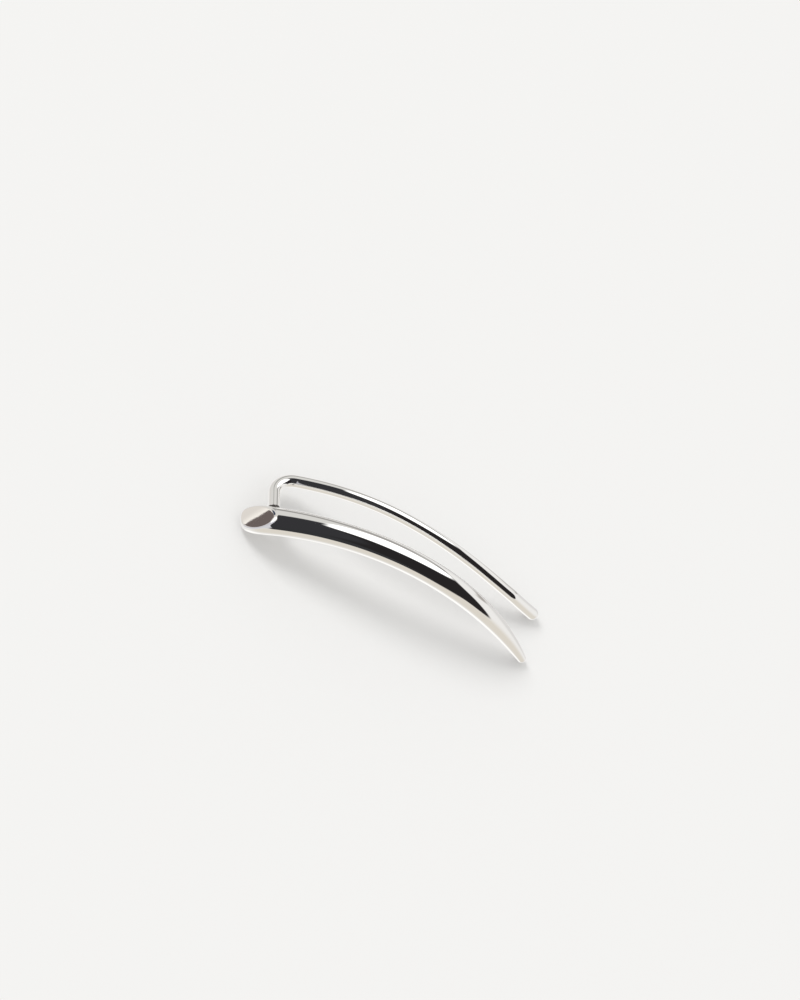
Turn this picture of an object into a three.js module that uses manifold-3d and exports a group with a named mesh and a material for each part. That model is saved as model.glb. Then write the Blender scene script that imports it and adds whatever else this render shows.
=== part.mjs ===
// Ear climber: a tapered silver bar that lies along the rim of the ear, with the ear wire behind it.
// Millimetres, Z up. It lies arch up and rests on its nose, the tip of the bar and the end of the wire.

import * as THREE from "three";
import { mergeVertices } from "three/addons/utils/BufferGeometryUtils.js";
import Module from "manifold-3d";

// The bar: a round rod bent to one even arc, which tapers to a small round tip.
const BAR_ARC_RADIUS = 23.7;
const BAR_LENGTH = 25.98;
const BAR_RADIUS = 0.938;
const TIP_RADIUS = 0.335;
const TAPER_POWER = 5.0; // a higher power starts the taper nearer to the tip
const NOSE_SLOPE = 31.5; // degrees the bar climbs at its nose, before the whole part is laid down
const NOSE_SWELL = 0.158; // extra radius at the nose, gone over the swell length
const SWELL_LENGTH = 9.0;

// The nose: a rounded end with one flat facet cut across it.
const NOSE_ROUND_LENGTH = 2.24; // how far from the end the rounding starts
const NOSE_ROUND_POWER = 2.9; // 2 is an ellipse, more is squarer
const NOSE_DROP = 0.5; // the rounding ends this much under the bar's axis
const NOSE_SHIFT = 0.37; // and this much toward the wire, so the front is rounder than the back
const FACET_AZIMUTH = 16.7; // degrees the facet turns from the nose's own direction to the front
const FACET_RISE = 30; // degrees the facet looks up
const FACET_CENTRE = 1.2; // where along the bar the facet's depth is measured
const FACET_DEPTH = 0.3; // from the bar's axis there to the plane of the facet

// The ear wire: leaves the back of the bar, bends once and runs beside the bar.
const WIRE_RADIUS = 0.45;
const WIRE_ROOT = 2.33; // distance of its root from the nose, along the bar
const WIRE_STAND_OFF = 4.25; // from the bar's axis to the start of the run
const WIRE_BEND_RADIUS = 1.46;
const WIRE_RUN_LENGTH = 22.12;
const RUN_SLOPES = [24.71, -52.54, -42.64, 58.22]; // degrees: the run's slope as a cubic of the share run
const RUN_LEAN = 3.6; // degrees the run leans in toward the bar at first
const LEAN_FADES = [0.35, 0.65]; // shares of the run between which it straightens
const END_FLARE = 5.5; // degrees the wire's very end turns away from the bar
const END_DIP = 5.94; // and degrees it turns down
const END_TURNS = [0.87, 0.9]; // shares of the run between which it does so

// The root flare: the small concave fillet of solder between the bar and the wire.
const FLARE_WIDTH = 0.2;
const FLARE_HEIGHT = 0.35;
const FLARE_SINK = 0.02; // how far the fillet's rim lies under the bar's skin

// How the part lies by itself: a pitch that lifts the nose and a roll toward the wire.
const REST_PITCH = 1.44;
const REST_ROLL = -12.95; // negative leans it toward the wire

// Mesh fineness.
const BAR_SIDES = 40;
const BODY_RINGS = 34;
const TIP_RINGS = 4;
const NOSE_RINGS = 7;
const WIRE_SIDES = 16;
const WIRE_STEPS = 64;
const STRAIGHT_POINTS = 6;
const BEND_POINTS = 10;
const RUN_POINTS = 60;
const FLARE_SIDES = 24;
const FLARE_RINGS = 5;
const CUTTER_SIZE = 8; // any block wider than the nose
const MERGE_DISTANCE = 1e-4;

const radians = (degrees) => (degrees * Math.PI) / 180;

// The bar's axis: an arc in the XZ plane that starts at the nose and sinks toward the tip.
function barAxis(distance) {
  const start = radians(NOSE_SLOPE);
  const slope = start - distance / BAR_ARC_RADIUS;
  const x = BAR_ARC_RADIUS * (Math.sin(start) - Math.sin(slope));
  const z = BAR_ARC_RADIUS * (Math.cos(slope) - Math.cos(start));
  return {
    point: new THREE.Vector3(x, 0, z),
    along: new THREE.Vector3(Math.cos(slope), 0, Math.sin(slope)),
    up: new THREE.Vector3(-Math.sin(slope), 0, Math.cos(slope)),
  };
}

function barRadius(distance) {
  const share = Math.min(Math.max(distance / BAR_LENGTH, 0), 1);
  const taper = (BAR_RADIUS - TIP_RADIUS) * (1 - share ** TAPER_POWER);
  const swell = NOSE_SWELL * Math.max(1 - distance / SWELL_LENGTH, 0) ** 2;
  return TIP_RADIUS + taper + swell;
}

// The middle of the bar's section, which leaves the axis a little inside the rounding.
function barMiddle(distance) {
  const { point, up } = barAxis(distance);
  const ease = Math.max(1 - distance / NOSE_ROUND_LENGTH, 0) ** 2;
  return point.addScaledVector(up, -NOSE_DROP * ease).add(new THREE.Vector3(0, NOSE_SHIFT * ease, 0));
}

// One ring of points round the bar.
function barRing(distance, radius) {
  const { up } = barAxis(distance);
  const back = new THREE.Vector3(0, 1, 0);
  const ring = [];
  for (let i = 0; i < BAR_SIDES; i++) {
    const angle = (2 * Math.PI * i) / BAR_SIDES;
    const spot = barMiddle(distance);
    spot.addScaledVector(up, radius * Math.cos(angle));
    spot.addScaledVector(back, -radius * Math.sin(angle));
    ring.push(spot);
  }
  return ring;
}

// A closed skin over rings of equal count, with a single point at each end.
function skin(firstPole, rings, lastPole) {
  const sides = rings[0].length;
  const points = [firstPole, ...rings.flat(), lastPole];
  const last = points.length - 1;
  const faces = [];
  for (let i = 0; i < sides; i++) {
    const next = (i + 1) % sides;
    faces.push(0, 1 + next, 1 + i);
    faces.push(last, last - sides + i, last - sides + next);
    for (let ring = 0; ring < rings.length - 1; ring++) {
      const here = 1 + ring * sides;
      const there = here + sides;
      faces.push(here + i, here + next, there + next);
      faces.push(here + i, there + next, there + i);
    }
  }
  const geometry = new THREE.BufferGeometry().setFromPoints(points);
  geometry.setIndex(faces);
  return geometry;
}

function barGeometry() {
  const rings = [];
  for (let i = 1; i <= NOSE_RINGS; i++) {
    const angle = (i / (NOSE_RINGS + 1)) * (Math.PI / 2);
    const distance = NOSE_ROUND_LENGTH * (1 - Math.cos(angle) ** (2 / NOSE_ROUND_POWER));
    const share = Math.sin(angle) ** (2 / NOSE_ROUND_POWER);
    rings.push(barRing(distance, share * barRadius(distance)));
  }
  for (let i = 0; i <= BODY_RINGS; i++) {
    const distance = NOSE_ROUND_LENGTH + ((BAR_LENGTH - NOSE_ROUND_LENGTH) * i) / BODY_RINGS;
    rings.push(barRing(distance, barRadius(distance)));
  }
  for (let i = 1; i <= TIP_RINGS; i++) {
    const angle = (i / (TIP_RINGS + 1)) * (Math.PI / 2);
    const distance = BAR_LENGTH + TIP_RADIUS * Math.sin(angle);
    rings.push(barRing(distance, TIP_RADIUS * Math.cos(angle)));
  }
  return skin(barMiddle(0), rings, barMiddle(BAR_LENGTH + TIP_RADIUS));
}

// The block outside the facet's plane, which is cut off the nose.
function facetCutter() {
  const azimuth = radians(FACET_AZIMUTH);
  const rise = radians(FACET_RISE);
  const outward = new THREE.Vector3(
    -Math.cos(rise) * Math.cos(azimuth),
    -Math.cos(rise) * Math.sin(azimuth),
    Math.sin(rise),
  );
  const block = new THREE.BoxGeometry(CUTTER_SIZE, CUTTER_SIZE, CUTTER_SIZE);
  block.translate(0, 0, CUTTER_SIZE / 2 + FACET_DEPTH);
  const turn = new THREE.Quaternion().setFromUnitVectors(new THREE.Vector3(0, 0, 1), outward);
  block.applyQuaternion(turn);
  const centre = barAxis(FACET_CENTRE).point;
  block.translate(centre.x, centre.y, centre.z);
  return block;
}

// The run's direction, at a share of its length.
function runDirection(share) {
  const [a, b, c, d] = RUN_SLOPES;
  const end = THREE.MathUtils.smoothstep(share, ...END_TURNS);
  const slope = radians(a + b * share + c * share ** 2 + d * share ** 3 - END_DIP * end);
  const lean = RUN_LEAN * (1 - THREE.MathUtils.smoothstep(share, ...LEAN_FADES)) - END_FLARE * end;
  const level = Math.cos(radians(lean));
  return new THREE.Vector3(level * Math.cos(slope), -Math.sin(radians(lean)), level * Math.sin(slope));
}

// Points along the wire's axis: straight back out of the bar, the bend, then the run.
function wirePoints() {
  const root = barAxis(WIRE_ROOT).point;
  const slope = radians(RUN_SLOPES[0]);
  const first = new THREE.Vector3(Math.cos(slope), 0, Math.sin(slope));
  const straight = WIRE_STAND_OFF - WIRE_BEND_RADIUS;
  const points = [];
  for (let i = 0; i < STRAIGHT_POINTS; i++) {
    points.push(root.clone().add(new THREE.Vector3(0, (straight * i) / STRAIGHT_POINTS, 0)));
  }
  for (let i = 0; i <= BEND_POINTS; i++) {
    const angle = (i / BEND_POINTS) * radians(90 + RUN_LEAN);
    const spot = root.clone().addScaledVector(first, WIRE_BEND_RADIUS * (1 - Math.cos(angle)));
    spot.y += straight + WIRE_BEND_RADIUS * Math.sin(angle);
    points.push(spot);
  }
  for (let i = 0; i < RUN_POINTS; i++) {
    const step = runDirection((i + 0.5) / RUN_POINTS);
    points.push(points.at(-1).clone().addScaledVector(step, WIRE_RUN_LENGTH / RUN_POINTS));
  }
  return points;
}

function wireGeometries() {
  const points = wirePoints();
  const section = new THREE.Shape().absarc(0, 0, WIRE_RADIUS, 0, 2 * Math.PI);
  const tube = new THREE.ExtrudeGeometry(section, {
    steps: WIRE_STEPS,
    curveSegments: WIRE_SIDES / 2,
    bevelEnabled: false,
    extrudePath: new THREE.CatmullRomCurve3(points),
  });
  const end = new THREE.SphereGeometry(WIRE_RADIUS, WIRE_SIDES, WIRE_SIDES / 2);
  end.rotateX(Math.PI / 2);
  end.translate(...points.at(-1));
  return [tube, end];
}

// The concave fillet that joins the wire's root to the round back of the bar.
function flareGeometry() {
  const { point, along, up } = barAxis(WIRE_ROOT);
  const radius = barRadius(WIRE_ROOT);
  const place = (sideways, upward, back) =>
    point.clone().addScaledVector(along, sideways).addScaledVector(up, upward)
      .add(new THREE.Vector3(0, back, 0));
  const surface = (upward) => Math.sqrt(radius ** 2 - upward ** 2);
  const rings = [];
  for (let ring = 0; ring <= FLARE_RINGS; ring++) {
    const turn = (ring / FLARE_RINGS) * (Math.PI / 2);
    const spread = FLARE_WIDTH * (1 - Math.cos(turn));
    const drop = FLARE_HEIGHT * (1 - Math.sin(turn));
    const spots = [];
    for (let i = 0; i < FLARE_SIDES; i++) {
      const angle = (2 * Math.PI * i) / FLARE_SIDES;
      const reach = WIRE_RADIUS + spread;
      const sideways = reach * Math.cos(angle);
      const upward = reach * Math.sin(angle);
      spots.push(place(sideways, upward, surface(upward) + drop - FLARE_SINK));
    }
    rings.push(spots);
  }
  return skin(place(0, 0, radius + FLARE_HEIGHT), rings, place(0, 0, 0));
}

const wasm = await Module();
wasm.setup();

function solid(geometry) {
  const bare = geometry.clone();
  bare.deleteAttribute("normal");
  bare.deleteAttribute("uv");
  const merged = mergeVertices(bare, MERGE_DISTANCE);
  const made = new wasm.Manifold(
    new wasm.Mesh({
      numProp: 3,
      vertProperties: new Float32Array(merged.attributes.position.array),
      triVerts: new Uint32Array(merged.index.array),
    }),
  );
  if (made.volume() <= 0) throw new Error("a piece faces inwards");
  return made;
}

function climberGeometry() {
  const nose = solid(barGeometry()).subtract(solid(facetCutter()));
  const pieces = [...wireGeometries(), flareGeometry()];
  const joined = pieces.reduce((sum, piece) => sum.add(solid(piece)), nose);
  const mesh = joined.getMesh();
  const geometry = new THREE.BufferGeometry();
  geometry.setAttribute("position", new THREE.BufferAttribute(mesh.vertProperties, 3));
  geometry.setIndex(new THREE.BufferAttribute(mesh.triVerts, 1));
  return geometry;
}

// Laid down as it rests, with the origin at the middle of the underside of its box.
function laidDown(geometry) {
  geometry.rotateY(radians(REST_PITCH));
  geometry.rotateX(radians(REST_ROLL));
  geometry.computeBoundingBox();
  const { min, max } = geometry.boundingBox;
  geometry.translate(-(min.x + max.x) / 2, -(min.y + max.y) / 2, -min.z);
  geometry.computeVertexNormals();
  return geometry;
}

const silver = new THREE.MeshStandardMaterial({ color: 0xd9d8d4, metalness: 1, roughness: 0.12 });
const climber = new THREE.Mesh(laidDown(climberGeometry()), silver);
climber.name = "ear_climber";

const part = new THREE.Group();
part.add(climber);

export default part;
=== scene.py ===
"""Ear climber: a polished silver bar that tapers to a small round tip, with its ear wire behind it.

The climber is worked out in millimetres by a Geometry Nodes tree, then laid down in metres on
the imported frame, with +Z up, the nose of the bar toward -X and the ear wire toward +Y.
"""

import math
from typing import NamedTuple

import bpy
from mathutils import Matrix, Vector


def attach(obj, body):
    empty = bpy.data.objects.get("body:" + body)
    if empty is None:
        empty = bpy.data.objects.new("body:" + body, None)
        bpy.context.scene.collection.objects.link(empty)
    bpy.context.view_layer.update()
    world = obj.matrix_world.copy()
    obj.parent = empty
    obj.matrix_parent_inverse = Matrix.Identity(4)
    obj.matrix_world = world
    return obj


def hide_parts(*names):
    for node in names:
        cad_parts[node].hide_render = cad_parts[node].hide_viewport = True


MM = 0.001
QUARTER_TURN = math.pi / 2
FULL_TURN = 2 * math.pi

# The bar: a round rod bent to one even arc, which tapers to a small round tip. Its nose is
# rounded off and a little thicker, and the slanted facet cuts it. Angles are in degrees.
BAR = {
    "Arc Radius": 23.7,
    "Length": 25.98,
    "Bar Radius": 0.938,
    "Tip Radius": 0.335,
    "Taper Power": 5.0,
    "Nose Slope": 31.5,
    "Nose Swell": 0.158,
    "Swell Length": 9.0,
    "Rounding Length": 2.24,
    "Rounding Power": 2.9,
    "Nose Drop": 0.5,
    "Nose Shift": 0.37,
    "Facet Azimuth": 16.7,
    "Facet Rise": 30.0,
    "Facet Centre": 1.2,
    "Facet Depth": 0.3,
    "Facet Dome Radius": 40.0,
    "Edge Softness": 0.12,
}

# The facet is cut by drawing the skin in toward the heart, a point inside the bar that lies this
# far past the facet's centre and this far below the axis.
HEART_ALONG = 0.55
HEART_DOWN = 0.35
DOME_REACH = 2.0  # how far from its centre the facet's faint dome goes on falling
LEAST_SLANT = 0.001  # for the rays that never meet the facet

# The ear wire: out of the back of the bar, one bend, then a long run beside the bar. The run's
# slope changes along it by a cubic, its lean toward the bar fades, and its end is flared.
WIRE = {
    "Wire Radius": 0.45,
    "Root": 2.33,
    "Stand Off": 4.25,
    "Bend Radius": 1.46,
    "Run Length": 22.12,
    "Run Slope": 24.71,
    "Slope Change": -52.54,
    "Slope Easing": -42.64,
    "Slope Twist": 58.22,
    "Run Lean": 3.6,
    "Lean Fades From": 0.35,
    "Lean Fades To": 0.65,
    "End Flare": 5.5,
    "End Dip": 5.94,
    "End Turns From": 0.87,
    "End Turns To": 0.9,
}
WIRE_END_RING = 0.02  # the last ring of the rounded end, as a share of the wire's radius

# The root flare: the small fillet of metal round the wire where it leaves the bar.
FLARE = {"Flare Width": 0.2, "Flare Height": 0.35}
FLARE_SINK = 0.015  # how deep its rim lies in the bar

# How the part lies by itself: on its nose, the tip of the bar and the end of the wire.
REST_PITCH = 1.44
REST_ROLL = -12.95

MERGE_DISTANCE = 0.00001
ROW_NUDGE = 0.0001  # keeps a row number from being rounded down to the row before


# ---------------------------------------------------------------------------------------------
# A small maker of number fields, so that a tree's formulas read as formulas.


class Field:
    """One number that varies over the points, wired from Math nodes."""

    def __init__(self, tree, socket):
        self.tree = tree
        self.socket = socket

    def math(self, operation, *others):
        node = self.tree.nodes.new("ShaderNodeMath")
        node.operation = operation
        for slot, value in enumerate((self, *others)):
            if isinstance(value, Field):
                self.tree.links.new(value.socket, node.inputs[slot])
            else:
                node.inputs[slot].default_value = value
        return Field(self.tree, node.outputs[0])

    def __add__(self, other):
        return self.math("ADD", other)

    def __sub__(self, other):
        return self.math("SUBTRACT", other)

    def __rsub__(self, other):
        return (-self).math("ADD", other)

    def __mul__(self, other):
        return self.math("MULTIPLY", other)

    __rmul__ = __mul__

    def __truediv__(self, other):
        return self.math("DIVIDE", other)

    def __rtruediv__(self, other):
        return self**-1.0 * other

    def __pow__(self, other):
        return self.math("POWER", other)

    def __neg__(self):
        return self.math("MULTIPLY", -1.0)

    def sin(self):
        return self.math("SINE")

    def cos(self):
        return self.math("COSINE")

    def root(self):
        return self.math("SQRT")

    def radians(self):
        return self.math("RADIANS")

    def least(self, other):
        return self.math("MINIMUM", other)

    def most(self, other):
        return self.math("MAXIMUM", other)

    def between(self, low, high):
        return self.most(low).least(high)


class Triple:
    """Three fields that make a place or a direction."""

    def __init__(self, x, y, z):
        self.x, self.y, self.z = x, y, z

    def __add__(self, other):
        return Triple(self.x + other.x, self.y + other.y, self.z + other.z)

    def __sub__(self, other):
        return Triple(self.x - other.x, self.y - other.y, self.z - other.z)

    def times(self, share):
        return Triple(share * self.x, share * self.y, share * self.z)

    def dot(self, other):
        return self.x * other.x + self.y * other.y + self.z * other.z

    def length(self):
        return self.dot(self).root()


class Workshop:
    """One Geometry Nodes tree, with its named inputs as fields."""

    def __init__(self, name, sizes):
        self.tree = bpy.data.node_groups.new(name, "GeometryNodeTree")
        self.sizes = sizes
        face = self.tree.interface
        face.new_socket("Geometry", in_out="OUTPUT", socket_type="NodeSocketGeometry")
        for size, value in sizes.items():
            kind = "NodeSocketMaterial" if isinstance(value, bpy.types.Material) else "NodeSocketFloat"
            face.new_socket(size, in_out="INPUT", socket_type=kind)
        self.inputs = self.node("NodeGroupInput")
        self.output = self.node("NodeGroupOutput")

    def node(self, kind, **settings):
        made = self.tree.nodes.new(kind)
        for name, value in settings.items():
            setattr(made, name, value)
        return made

    def link(self, start, end):
        self.tree.links.new(start, end)

    def size(self, name):
        return Field(self.tree, self.inputs.outputs[name])

    def number(self, value):
        node = self.node("ShaderNodeValue")
        node.outputs[0].default_value = value
        return Field(self.tree, node.outputs[0])

    def grid(self, rows, columns):
        """A flat sheet of points to be rolled up, with its row and column as fields."""
        sheet = self.node("GeometryNodeMeshGrid")
        sheet.inputs["Vertices X"].default_value = rows
        sheet.inputs["Vertices Y"].default_value = columns
        index = Field(self.tree, self.node("GeometryNodeInputIndex").outputs[0])
        row = (index / columns + ROW_NUDGE).math("FLOOR")
        column = index - row * columns
        return sheet.outputs["Mesh"], row, column

    def combine(self, place):
        node = self.node("ShaderNodeCombineXYZ")
        for slot, value in enumerate((place.x, place.y, place.z)):
            self.link(value.socket, node.inputs[slot])
        return node.outputs[0]

    def placed(self, mesh, place):
        node = self.node("GeometryNodeSetPosition")
        self.link(mesh, node.inputs["Geometry"])
        self.link(self.combine(place), node.inputs["Position"])
        return node.outputs[0]

    def closed(self, mesh):
        """The rolled sheet with its seam and its two ends merged."""
        node = self.node("GeometryNodeMergeByDistance")
        self.link(mesh, node.inputs["Geometry"])
        node.inputs["Distance"].default_value = MERGE_DISTANCE
        return node.outputs[0]

    def coated(self, shape, finish):
        """Ends the tree: the shape as real geometry, in the finish that the input holds."""
        real = self.node("GeometryNodeRealizeInstances")
        self.link(shape, real.inputs[0])
        coat = self.node("GeometryNodeSetMaterial")
        self.link(real.outputs[0], coat.inputs["Geometry"])
        self.link(self.inputs.outputs[finish], coat.inputs["Material"])
        self.link(coat.outputs[0], self.output.inputs[0])

    def made(self, name):
        """The tree's result as a plain mesh object."""
        piece = bpy.data.objects.new(name, bpy.data.meshes.new(name))
        bpy.context.scene.collection.objects.link(piece)
        modifier = piece.modifiers.new("shape", "NODES")
        modifier.node_group = self.tree
        for socket in self.tree.interface.items_tree:
            if socket.in_out == "INPUT":
                modifier[socket.identifier] = self.sizes[socket.name]
        ready = piece.evaluated_get(bpy.context.evaluated_depsgraph_get())
        mesh = bpy.data.meshes.new_from_object(ready)
        piece.modifiers.remove(modifier)
        piece.data = mesh
        mesh.name = name
        return piece


# ---------------------------------------------------------------------------------------------
# The shapes.


def arc_axis(shop, along):
    """The bar's axis at a distance from its nose: the point, the way up and the way ahead."""
    radius = shop.size("Arc Radius")
    start = shop.size("Nose Slope").radians()
    slope = start - along / radius
    point = Triple(
        radius * (start.sin() - slope.sin()),
        shop.number(0.0),
        radius * (slope.cos() - start.cos()),
    )
    up = Triple(-slope.sin(), shop.number(0.0), slope.cos())
    heading = Triple(slope.cos(), shop.number(0.0), slope.sin())
    return point, up, heading


def bar_radius(shop, along):
    """The bar's radius at a distance from its nose."""
    tip = shop.size("Tip Radius")
    share = (along / shop.size("Length")).between(0.0, 1.0)
    taper = (shop.size("Bar Radius") - tip) * (1.0 - share ** shop.size("Taper Power"))
    swell = shop.size("Nose Swell") * (1.0 - along / shop.size("Swell Length")).most(0.0) ** 2.0
    return tip + taper + swell


def facet_direction(shop):
    """The way that the facet faces: toward the nose, out to the front and up."""
    azimuth = shop.size("Facet Azimuth").radians()
    rise = shop.size("Facet Rise").radians()
    return Triple(-(rise.cos() * azimuth.cos()), -(rise.cos() * azimuth.sin()), rise.sin())


def bar_shape(shop):
    """The tapered bar with its rounded nose, and the facet with a softened edge."""
    nose_rows, body_rows, tip_rows, sides = 110, 170, 12, 160
    rows = nose_rows + body_rows + tip_rows
    sheet, row, column = shop.grid(rows + 1, sides + 1)

    # Rows bunch up toward the end of the nose and toward the end of the tip.
    nose_turn = (row / nose_rows).between(0.0, 1.0) * QUARTER_TURN
    body_share = ((row - nose_rows) / body_rows).between(0.0, 1.0)
    tip_turn = ((row - nose_rows - body_rows) / tip_rows).between(0.0, 1.0) * QUARTER_TURN
    rounding = shop.size("Rounding Length")
    power = 2.0 / shop.size("Rounding Power")
    nose_along = rounding * (1.0 - nose_turn.cos().most(0.0) ** power)
    straight = shop.size("Length") - rounding
    along = nose_along + straight * body_share + shop.size("Tip Radius") * tip_turn.sin()
    nose_share = nose_turn.sin() ** power
    tip_share = tip_turn.cos().most(0.0)
    radius = bar_radius(shop, along) * nose_share * tip_share

    point, up, _ = arc_axis(shop, along)
    ease = (1.0 - along / rounding).most(0.0) ** 2.0
    middle = point + up.times(-(shop.size("Nose Drop") * ease))
    middle = middle + Triple(shop.number(0.0), shop.size("Nose Shift") * ease, shop.number(0.0))
    turn = column * (FULL_TURN / sides)
    side = Triple(shop.number(0.0), turn.sin(), shop.number(0.0))
    skin = middle + (up.times(turn.cos()) + side).times(radius)

    # The facet: every point beyond its plane is drawn back toward a point inside the bar.
    centre, _, _ = arc_axis(shop, shop.size("Facet Centre"))
    outward = facet_direction(shop)
    heart, heart_up, _ = arc_axis(shop, shop.size("Facet Centre") + HEART_ALONG)
    heart = heart + heart_up.times(shop.number(-HEART_DOWN))
    ray = skin - heart
    reach = ray.length()
    room = shop.size("Facet Depth") - (heart - centre).dot(outward)
    slant = (ray.dot(outward) / reach).most(LEAST_SLANT)
    landing = heart + ray.times(room / slant / reach) - centre
    bulge = landing.dot(landing).least(DOME_REACH**2) / (2.0 * shop.size("Facet Dome Radius"))
    limit = (room - bulge) / slant
    drawn = reach.math("SMOOTH_MIN", limit, shop.size("Edge Softness"))
    cut = heart + ray.times(drawn / reach)
    return shop.closed(shop.placed(sheet, cut))


def eased(share, start, stop):
    """0 up to start and 1 from stop on, easing in between."""
    way = ((share - start) / (stop - start)).between(0.0, 1.0)
    return way * way * (3.0 - way * 2.0)


def run_slope(shop, share, end):
    """The slope of the wire's run at a share of its length, in radians."""
    slope = shop.size("Run Slope") + shop.size("Slope Change") * share
    slope = slope + shop.size("Slope Easing") * share * share
    slope = slope + shop.size("Slope Twist") * share * share * share
    return (slope - shop.size("End Dip") * end).radians()


def wire_shape(shop):
    """The ear wire as a round tube along its path, with a rounded end."""
    path_steps, cap_steps, sides = 260, 10, 64
    line = shop.node("GeometryNodeMeshLine")
    line.inputs["Count"].default_value = path_steps + cap_steps + 1
    index = Field(shop.tree, shop.node("GeometryNodeInputIndex").outputs[0])
    radius = shop.size("Wire Radius")
    bend_radius = shop.size("Bend Radius")
    straight = shop.size("Stand Off") - bend_radius
    run_lean = shop.size("Run Lean").radians()
    bend_turn = run_lean + QUARTER_TURN
    bend = bend_radius * bend_turn
    run = shop.size("Run Length")
    total = straight + bend + run

    def travelled(step):
        cap = ((step - path_steps) / cap_steps).between(0.0, 1.0) * QUARTER_TURN
        return total * (step / path_steps).between(0.0, 1.0) + radius * cap.sin(), cap

    # Each step heads the way that the path has at the step's own middle.
    here, cap = travelled(index)
    before, _ = travelled((index - 1.0).most(0.0))
    middle = (here + before) * 0.5
    share = ((middle - straight - bend) / run).most(0.0)
    end = eased(share, shop.size("End Turns From"), shop.size("End Turns To"))
    slope = run_slope(shop, share, end)
    straightened = eased(share, shop.size("Lean Fades From"), shop.size("Lean Fades To"))
    turned = ((middle - straight) / bend_radius).between(0.0, bend_turn)
    turned = turned - run_lean * straightened - shop.size("End Flare").radians() * end
    heading = Triple(turned.sin() * slope.cos(), turned.cos(), turned.sin() * slope.sin())
    step = heading.times(here - before)

    add_up = shop.node("GeometryNodeAccumulateField", data_type="FLOAT_VECTOR")
    shop.link(shop.combine(step), add_up.inputs["Value"])
    root, _, _ = arc_axis(shop, shop.size("Root"))
    start = shop.node("ShaderNodeVectorMath", operation="ADD")
    shop.link(add_up.outputs["Leading"], start.inputs[0])
    shop.link(shop.combine(root), start.inputs[1])
    place = shop.node("GeometryNodeSetPosition")
    shop.link(line.outputs["Mesh"], place.inputs["Geometry"])
    shop.link(start.outputs[0], place.inputs["Position"])

    path = shop.node("GeometryNodeMeshToCurve")
    shop.link(place.outputs[0], path.inputs["Mesh"])
    section = shop.node("GeometryNodeCurvePrimitiveCircle")
    section.inputs["Resolution"].default_value = sides
    shop.link(radius.socket, section.inputs["Radius"])
    tube = shop.node("GeometryNodeCurveToMesh")
    shop.link(path.outputs[0], tube.inputs["Curve"])
    shop.link(cap.cos().most(WIRE_END_RING).socket, tube.inputs["Scale"])
    shop.link(section.outputs["Curve"], tube.inputs["Profile Curve"])
    tube.inputs["Fill Caps"].default_value = True
    return tube.outputs[0]


def flare_shape(shop):
    """The concave fillet that joins the wire's root to the round back of the bar."""
    rows, sides = 16, 96
    sheet, row, column = shop.grid(rows + 3, sides + 1)
    # The first and the last row are points that close the flare, the last on the bar's axis.
    turn = ((row - 1.0) / rows).between(0.0, 1.0) * QUARTER_TURN
    buried = (row - rows - 1.0).between(0.0, 1.0)
    opening = row.between(0.0, 1.0) * (1.0 - buried)
    spread = shop.size("Flare Width") * (1.0 - turn.cos())
    drop = shop.size("Flare Height") * (1.0 - turn.sin())
    angle = column * (-FULL_TURN / sides)
    reach = (shop.size("Wire Radius") + spread) * opening
    sideways = reach * angle.cos()
    upward = reach * angle.sin()
    root, up, heading = arc_axis(shop, shop.size("Root"))
    radius = bar_radius(shop, shop.size("Root"))
    surface = (radius * radius - upward * upward).most(0.0).root()
    back = (surface + drop - FLARE_SINK) * (1.0 - buried)
    place = root + heading.times(sideways) + up.times(upward)
    place = place + Triple(shop.number(0.0), back, shop.number(0.0))
    return shop.closed(shop.placed(sheet, place))


def make_climber(silver):
    """Bar, wire and flare joined to one solid, as soldered silver is."""
    shop = Workshop("ear climber", {**BAR, **WIRE, **FLARE, "Silver": silver})
    join = shop.node("GeometryNodeMeshBoolean", operation="UNION", solver="MANIFOLD")
    for shape in (bar_shape(shop), wire_shape(shop), flare_shape(shop)):
        shop.link(shape, join.inputs["Mesh 2"])
    smooth = shop.node("GeometryNodeSetShadeSmooth")
    shop.link(join.outputs["Mesh"], smooth.inputs["Geometry"])
    shop.coated(smooth.outputs[0], "Silver")
    climber = shop.made("ear_climber_silver")
    return climber, lay_down(climber.data)


def resting_turn():
    """The turn from the bar's upright arch to the way that the part lies."""
    pitch = Matrix.Rotation(math.radians(REST_PITCH), 4, "Y")
    roll = Matrix.Rotation(math.radians(REST_ROLL), 4, "X")
    return roll @ pitch


def lay_down(mesh):
    """Turns the shape as it rests, puts the middle of its underside on the origin, in metres.

    Gives back where the start of the bar's axis, at the end of the nose, comes to lie.
    """
    mesh.transform(resting_turn())
    low = Vector(min(v.co[axis] for v in mesh.vertices) for axis in range(3))
    high = Vector(max(v.co[axis] for v in mesh.vertices) for axis in range(3))
    shift = Vector((-(low.x + high.x) / 2, -(low.y + high.y) / 2, -low.z))
    mesh.transform(Matrix.Scale(MM, 4) @ Matrix.Translation(shift))
    mesh.update()
    return shift * MM


# ---------------------------------------------------------------------------------------------
# The finishes. The silver's grains are counted per metre, and its depths are in metres.

SILVER_COLOUR = (0.93, 0.92, 0.90)
HAZE_GRAIN = 900.0
HAZE_ROUGHNESS = (0.01, 0.035)
HAZE_SPREAD = (0.3, 0.7)
WAVE_GRAIN = 420.0
WAVE_STRENGTH = 0.5
WAVE_DEPTH = 0.000012
MARK_GRAIN = (900.0, 9000.0, 9000.0)  # drawn out along the bar
MARK_STRENGTH = 0.25
MARK_DEPTH = 0.0000008

# Painted shade in the crease round the wire's root, in millimetres and with its grain per millimetre.
CREASE_SHADE_COLOUR = (0.06, 0.05, 0.045)
SEAM_WIDTH = 0.27
SEAM_CORE = 0.6  # the share of the width that is fully dark
SEAM_CREEP = 0.8  # under 1 lets the painted shade creep up the wire
SEAM_RAGGED = 0.25
SEAM_GRAIN = 4.0
SEAM_BACK = 0.1  # the painted shade fades in over this far behind the bar's middle

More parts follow.
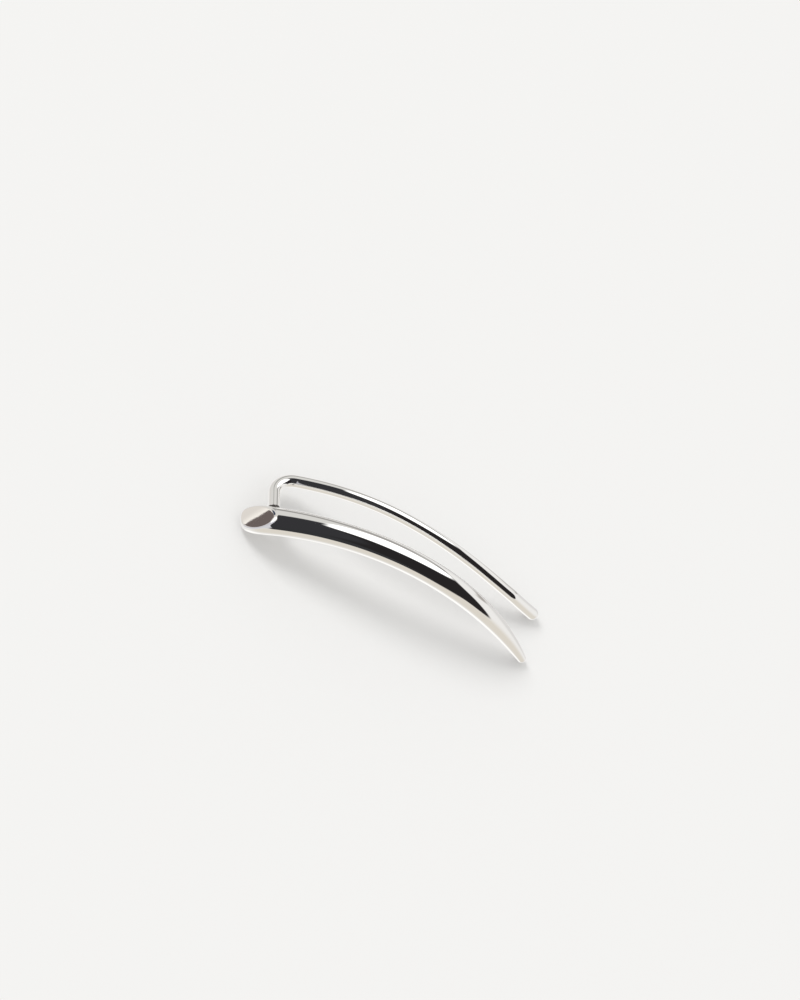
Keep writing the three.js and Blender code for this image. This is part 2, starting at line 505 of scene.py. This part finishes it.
TABLE_COLOUR = (0.85, 0.845, 0.838)


def new_material(name):
    """An empty material, to be made from nodes."""
    material = bpy.data.materials.new(name)
    material.use_nodes = True
    material.node_tree.nodes.clear()
    return material, material.node_tree


def soft_step(value, low, high):
    """0 below low and 1 above high, easing in between."""
    node = value.tree.nodes.new("ShaderNodeMapRange")
    node.interpolation_type = "SMOOTHSTEP"
    node.inputs["From Min"].default_value = low
    node.inputs["From Max"].default_value = high
    value.tree.links.new(value.socket, node.inputs["Value"])
    return Field(value.tree, node.outputs[0])


def painted(tree, under, over, mask, name):
    """The colour over laid on the colour under where the mask is 1."""
    mix = tree.nodes.new("ShaderNodeMix")
    mix.data_type = "RGBA"
    mix.label = name
    tree.links.new(mask.socket, mix.inputs["Factor"])
    for colour, slot in ((under, "A"), (over, "B")):
        if isinstance(colour, tuple):
            mix.inputs[slot].default_value = (*colour, 1.0)
        else:
            tree.links.new(colour, mix.inputs[slot])
    return mix.outputs["Result"]


def noise(tree, place, grain, detail):
    """Fine noise on the place that a socket gives."""
    node = tree.nodes.new("ShaderNodeTexNoise")
    node.inputs["Scale"].default_value = grain
    node.inputs["Detail"].default_value = detail
    tree.links.new(place, node.inputs["Vector"])
    return node.outputs[0]


def bumped(tree, height, strength, depth, normal=None):
    """The normal, bent as if the surface rose and fell with the height."""
    node = tree.nodes.new("ShaderNodeBump")
    node.inputs["Strength"].default_value = strength
    node.inputs["Distance"].default_value = depth
    tree.links.new(height, node.inputs["Height"])
    if normal is not None:
        tree.links.new(normal, node.inputs["Normal"])
    return node.outputs[0]


def polished_silver():
    """Mirror-polished silver with faint polishing marks and a slightly uneven hand finish."""
    material, tree = new_material("polished silver")
    nodes, links = tree.nodes, tree.links
    output = nodes.new("ShaderNodeOutputMaterial")
    shader = nodes.new("ShaderNodeBsdfPrincipled")
    links.new(shader.outputs[0], output.inputs["Surface"])
    shader.inputs["Base Color"].default_value = (*SILVER_COLOUR, 1.0)
    shader.inputs["Metallic"].default_value = 1.0
    place = nodes.new("ShaderNodeTexCoord").outputs["Object"]

    rough = nodes.new("ShaderNodeMapRange")
    rough.inputs["From Min"].default_value = HAZE_SPREAD[0]
    rough.inputs["From Max"].default_value = HAZE_SPREAD[1]
    rough.inputs["To Min"].default_value = HAZE_ROUGHNESS[0]
    rough.inputs["To Max"].default_value = HAZE_ROUGHNESS[1]
    links.new(noise(tree, place, HAZE_GRAIN, detail=4.0), rough.inputs["Value"])
    links.new(rough.outputs[0], shader.inputs["Roughness"])

    along = nodes.new("ShaderNodeMapping")
    along.inputs["Scale"].default_value = MARK_GRAIN
    links.new(place, along.inputs["Vector"])
    marks = noise(tree, along.outputs[0], grain=1.0, detail=3.0)
    waves = noise(tree, place, WAVE_GRAIN, detail=1.0)
    wavy = bumped(tree, waves, WAVE_STRENGTH, WAVE_DEPTH)
    links.new(bumped(tree, marks, MARK_STRENGTH, MARK_DEPTH, wavy), shader.inputs["Normal"])
    return material


def bar_radius_at_root():
    """The bar's radius in millimetres where the wire leaves it, before the taper tells."""
    swell = (1.0 - WIRE["Root"] / BAR["Swell Length"]) ** 2
    return BAR["Bar Radius"] + BAR["Nose Swell"] * swell


def seam_frame(nose_start):
    """Where the wire leaves the bar: x along the bar, y out along the wire and z up, from mm."""
    start = math.radians(BAR["Nose Slope"])
    slope = start - WIRE["Root"] / BAR["Arc Radius"]
    root = Vector((math.sin(start) - math.sin(slope), 0.0, math.cos(slope) - math.cos(start)))
    along_bar = Matrix.Rotation(-slope, 4, "Y")
    turned = resting_turn() @ Matrix.Translation(root * BAR["Arc Radius"]) @ along_bar
    return Matrix.Translation(nose_start) @ Matrix.Scale(MM, 4) @ turned


def paint_crease_shade(silver, nose_start):
    """Dark, ragged painted shade in the crease where the wire is soldered to the back of the bar."""
    tree = silver.node_tree
    shader = next(node for node in tree.nodes if node.type == "BSDF_PRINCIPLED")
    place = tree.nodes.new("ShaderNodeTexCoord")
    local = tree.nodes.new("ShaderNodeMapping")
    location, rotation, scale = seam_frame(nose_start).inverted().decompose()
    local.inputs["Location"].default_value = location
    local.inputs["Rotation"].default_value = rotation.to_euler()
    local.inputs["Scale"].default_value = scale
    tree.links.new(place.outputs["Object"], local.inputs["Vector"])
    split = tree.nodes.new("ShaderNodeSeparateXYZ")
    tree.links.new(local.outputs[0], split.inputs[0])
    x, y, z = (Field(tree, split.outputs[slot]) for slot in range(3))
    off_wire = (x * x + z * z).root() - WIRE["Wire Radius"]
    off_bar = ((y * y + z * z).root() - bar_radius_at_root()) * SEAM_CREEP
    behind = soft_step(y, 0.0, SEAM_BACK)
    ragged = Field(tree, noise(tree, local.outputs[0], SEAM_GRAIN, detail=3.0))
    away = (off_wire * off_wire + off_bar * off_bar).root() + (ragged - 0.5) * SEAM_RAGGED
    dark = (1.0 - soft_step(away, SEAM_WIDTH * SEAM_CORE, SEAM_WIDTH)) * behind
    # Paints the crease's shade into the silver's own colour.
    colour = painted(tree, SILVER_COLOUR, CREASE_SHADE_COLOUR, dark, "painted crease shade")
    tree.links.new(colour, shader.inputs["Base Color"])


def floor_finish():
    """The pale matt top that the part lies on."""
    material, tree = new_material("pale matt table")
    output = tree.nodes.new("ShaderNodeOutputMaterial")
    shader = tree.nodes.new("ShaderNodeBsdfDiffuse")
    shader.inputs["Color"].default_value = (*TABLE_COLOUR, 1.0)
    tree.links.new(shader.outputs[0], output.inputs["Surface"])
    return material


# ---------------------------------------------------------------------------------------------
# The studio.

# The viewer stands to the front left of the nose and looks down on the part with a tipped head:
# a bearing from the -Y side toward the -X side, a height over the horizon and a roll, in degrees.
VIEW_BEARING = 36.04
VIEW_HEIGHT = 47.76
VIEW_ROLL = 53.88

# The tent of cards that the silver mirrors tips with the head: it stands upright for a viewer
# who looks down into it by this many degrees.
LOOK_DOWN = 45.0

# The camera's distance, the height of its frame, and the middle of the frame from the start of
# the bar's axis, to the right and up, all in millimetres.
CAMERA_DISTANCE = 900.0
FRAME_HEIGHT = 71.4
FRAME_MIDDLE = (11.36, 1.30)
SENSOR_LONG_SIDE = 36.0

# The floor and the two lights, in metres and watts.
FLOOR_HALF = 2.5
WORLD_COLOUR = (0.93, 0.93, 0.92)
WORLD_STRENGTH = 0.88
WINDOW_TOWARD = Vector((-1.1, 0.6, 1.0))
WINDOW_DISTANCE = 10.0
WINDOW_SIZE = 4.6
WINDOW_POWER = 417.0


class Card(NamedTuple):
    """A rounded oblong of one colour: its middle and its half sizes are bearings and heights.

    Square is how square its corners are, soft blurs its edge, turn tips it and cover is how
    much of it shows. Bearings turn from the right of the view (0) to the camera (90) and on to
    the left (180); heights are degrees over the horizon.
    """

    name: str
    middle: tuple
    half: tuple
    square: float
    soft: float
    colour: tuple
    turn: float = 0.0
    cover: float = 1.0


# What the polished silver mirrors: a room over the edge of a table, each with its cards, painted
# in the order listed.
TENT_RADIUS = 20.0  # in metres
TENT_ROUNDNESS = 4
ROOM_WALL = (0.711, 0.687, 0.666)
ROOM_CARDS = [
    Card("left room", (129, 30), (52, 60), 8, 0.03, (0.575, 0.572, 0.635)),
    Card("lit middle of the left room", (124, 2), (44, 34), 2, 0.9, (0.74, 0.74, 0.76), cover=0.85),
    Card("dark room", (7, 5), (79, 84), 2, 0.01, (0.036, 0.036, 0.040)),
    Card("darkest part", (15, -22), (62, 60), 6, 0.06, (0.021, 0.019, 0.020), turn=-47),
    Card("low corner of the dark room", (79, -18), (5.8, 20), 5, 0.04, (0.034, 0.035, 0.038)),
    Card("grey wall", (-82, 45), (54, 40), 3, 0.1, (0.714, 0.708, 0.690), turn=-10),
    Card("white screen", (-12, 36), (34, 21), 2.5, 0.08, (1.5, 1.5, 1.5), turn=10),
    Card("shade on the wall", (-58, 17), (24, 8), 2, 0.5, (0.30, 0.288, 0.278), cover=0.9),
    Card("corner of the wall", (-84, 28), (25, 7), 2.5, 0.7, (0.27, 0.260, 0.248), turn=112, cover=0.9),
    Card("front screen", (130, 82), (62, 21), 4, 0.12, (1.5, 1.5, 1.5)),
    Card("cream card", (-150, 34), (14, 16), 3, 0.3, (0.764, 0.726, 0.685)),
    Card("its lit edge", (-158.6, 49.3), (9, 6), 8, 0.2, (0.985, 0.945, 0.890), turn=48.5),
    Card("brown card", (-159.5, 50.1), (9, 6), 8, 0.03, (0.152, 0.124, 0.119), turn=48.5),
    Card("blue card", (-138, 60), (14, 8), 3, 0.2, (0.048, 0.062, 0.10)),
]
TABLE_TOP = (0.902, 0.894, 0.888)
TABLE_CARDS = [
    Card("grey far table", (-45, -18), (33, 13), 3, 0.4, (0.746, 0.739, 0.732)),
    Card("far rim", (-38, -6.5), (18, 2), 2.5, 0.6, (0.432, 0.409, 0.391), turn=24),
    Card("beige table", (78, -48), (60, 30), 2.5, 0.5, (0.751, 0.710, 0.643)),
    Card("bright strip", (-145, -71), (60, 11), 4, 0.3, (1.12, 1.11, 1.09)),
]
TABLE_EDGE_HEIGHT = 15.0
TABLE_EDGE_SOFT = 3.0
# How the edge of the table falls toward the camera, and rises again past it, and how it falls
# toward the far right: from where, to where, and by how many degrees.
TABLE_EDGE_FALLS = [(-10, 60, 37), (60, 86, 13), (77, 90, -16)]
TABLE_EDGE_FAR_FALL = (18, 65, 12)


def view_turn():
    """Turns the part's axes to the viewer's own: x to the right, y up and z toward the viewer."""
    bearing = Matrix.Rotation(math.radians(-VIEW_BEARING), 4, "Z")
    height = Matrix.Rotation(math.radians(90.0 - VIEW_HEIGHT), 4, "X")
    roll = Matrix.Rotation(math.radians(VIEW_ROLL), 4, "Z")
    return bearing @ height @ roll


def tent_turn():
    """Turns the part's axes to the tent's: x to the viewer's right, y away and z upright."""
    return view_turn() @ Matrix.Rotation(math.radians(LOOK_DOWN - 90.0), 4, "X")


def card_mask(bearing, height, card):
    """1 on the card and 0 beside it."""
    across = (bearing - card.middle[0]).math("WRAP", 180.0, -180.0)
    over = height - card.middle[1]
    cosine = math.cos(math.radians(card.turn))
    sine = math.sin(math.radians(card.turn))
    side = (across * cosine + over * sine).math("ABSOLUTE") / card.half[0]
    top = (over * cosine - across * sine).math("ABSOLUTE") / card.half[1]
    reach = (side**card.square + top**card.square) ** (1.0 / card.square)
    return (1.0 - soft_step(reach, 1.0 - card.soft, 1.0 + card.soft)) * card.cover


def tent_finish():
    """The glowing cards, painted by the direction in which they lie from the part."""
    material, tree = new_material("tent of cards")
    nodes, links = tree.nodes, tree.links
    place = nodes.new("ShaderNodeTexCoord")
    unit = nodes.new("ShaderNodeVectorMath")
    unit.operation = "NORMALIZE"
    links.new(place.outputs["Object"], unit.inputs[0])
    split = nodes.new("ShaderNodeSeparateXYZ")
    links.new(unit.outputs[0], split.inputs[0])
    x, y, z = (Field(tree, split.outputs[slot]) for slot in range(3))
    bearing = (-y).math("ARCTAN2", x).math("DEGREES")
    height = z.math("ARCSINE").math("DEGREES")

    room = ROOM_WALL
    for card in ROOM_CARDS:
        room = painted(tree, room, card.colour, card_mask(bearing, height, card), card.name)
    table = TABLE_TOP
    for card in TABLE_CARDS:
        table = painted(tree, table, card.colour, card_mask(bearing, height, card), card.name)

    far_start, far_end, far_fall = TABLE_EDGE_FAR_FALL
    edge = TABLE_EDGE_HEIGHT - soft_step(-bearing, far_start, far_end) * far_fall
    for start, end, fall in TABLE_EDGE_FALLS:
        edge = edge - soft_step(bearing, start, end) * fall
    over_edge = soft_step(height - edge, -TABLE_EDGE_SOFT, 0.0)
    colour = painted(tree, table, room, over_edge, "edge of the table")

    glow = nodes.new("ShaderNodeEmission")
    links.new(colour, glow.inputs["Color"])
    output = nodes.new("ShaderNodeOutputMaterial")
    links.new(glow.outputs[0], output.inputs["Surface"])
    material.cycles.emission_sampling = "NONE"
    return material


def make_tent():
    """A ball of cards round the part that only the polished silver sees."""
    shop = Workshop("tent", {"Radius": TENT_RADIUS, "Cards": tent_finish()})
    ball = shop.node("GeometryNodeMeshIcoSphere")
    ball.inputs["Subdivisions"].default_value = TENT_ROUNDNESS
    shop.link(shop.size("Radius").socket, ball.inputs["Radius"])
    shop.coated(ball.outputs["Mesh"], "Cards")
    tent = shop.made("tent")
    tent.matrix_world = tent_turn()
    tent.visible_camera = False
    tent.visible_diffuse = False
    tent.visible_shadow = False


def make_floor():
    """A plain square floor; the silver mirrors the tent's table in its place."""
    mesh = bpy.data.meshes.new("floor")
    corners = [(-1, -1), (1, -1), (1, 1), (-1, 1)]
    places = [(x * FLOOR_HALF, y * FLOOR_HALF, 0.0) for x, y in corners]
    mesh.from_pydata(places, [], [(0, 1, 2, 3)])
    mesh.materials.append(floor_finish())
    floor = bpy.data.objects.new("floor", mesh)
    bpy.context.scene.collection.objects.link(floor)
    floor.visible_glossy = False


def make_lights():
    """A pale room all round, and one large soft window that casts the faint shadow."""
    world = bpy.data.worlds.new("pale room")
    world.use_nodes = True
    background = world.node_tree.nodes["Background"]
    background.inputs["Color"].default_value = (*WORLD_COLOUR, 1.0)
    background.inputs["Strength"].default_value = WORLD_STRENGTH
    bpy.context.scene.world = world

    light = bpy.data.lights.new("window", "AREA")
    light.shape = "DISK"
    light.size = WINDOW_SIZE
    light.energy = WINDOW_POWER
    window = bpy.data.objects.new("window", light)
    window.location = WINDOW_TOWARD.normalized() * WINDOW_DISTANCE
    window.rotation_euler = WINDOW_TOWARD.to_track_quat("Z", "Y").to_euler()
    window.visible_glossy = False
    bpy.context.scene.collection.objects.link(window)


def make_camera(nose_start):
    """A long lens on the viewer's own axes, framed on the whole part."""
    scene = bpy.context.scene
    data = bpy.data.cameras.new("camera")
    data.sensor_width = SENSOR_LONG_SIDE
    data.lens = SENSOR_LONG_SIDE * CAMERA_DISTANCE / FRAME_HEIGHT
    camera = bpy.data.objects.new("camera", data)
    scene.collection.objects.link(camera)
    place = Vector((*FRAME_MIDDLE, CAMERA_DISTANCE)) * MM
    camera.matrix_world = Matrix.Translation(nose_start) @ view_turn() @ Matrix.Translation(place)
    scene.camera = camera


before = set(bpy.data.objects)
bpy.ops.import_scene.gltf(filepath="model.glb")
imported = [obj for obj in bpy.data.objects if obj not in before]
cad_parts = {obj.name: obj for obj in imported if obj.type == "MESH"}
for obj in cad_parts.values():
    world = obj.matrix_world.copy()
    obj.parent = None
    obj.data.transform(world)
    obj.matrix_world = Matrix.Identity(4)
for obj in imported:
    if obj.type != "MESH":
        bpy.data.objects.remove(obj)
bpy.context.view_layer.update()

silver = polished_silver()
climber, nose_start = make_climber(silver)
paint_crease_shade(silver, nose_start)
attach(climber, "root")
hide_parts("ear_climber")

make_floor()
make_tent()
make_lights()
make_camera(nose_start)
bpy.context.scene.view_settings.view_transform = "Standard"
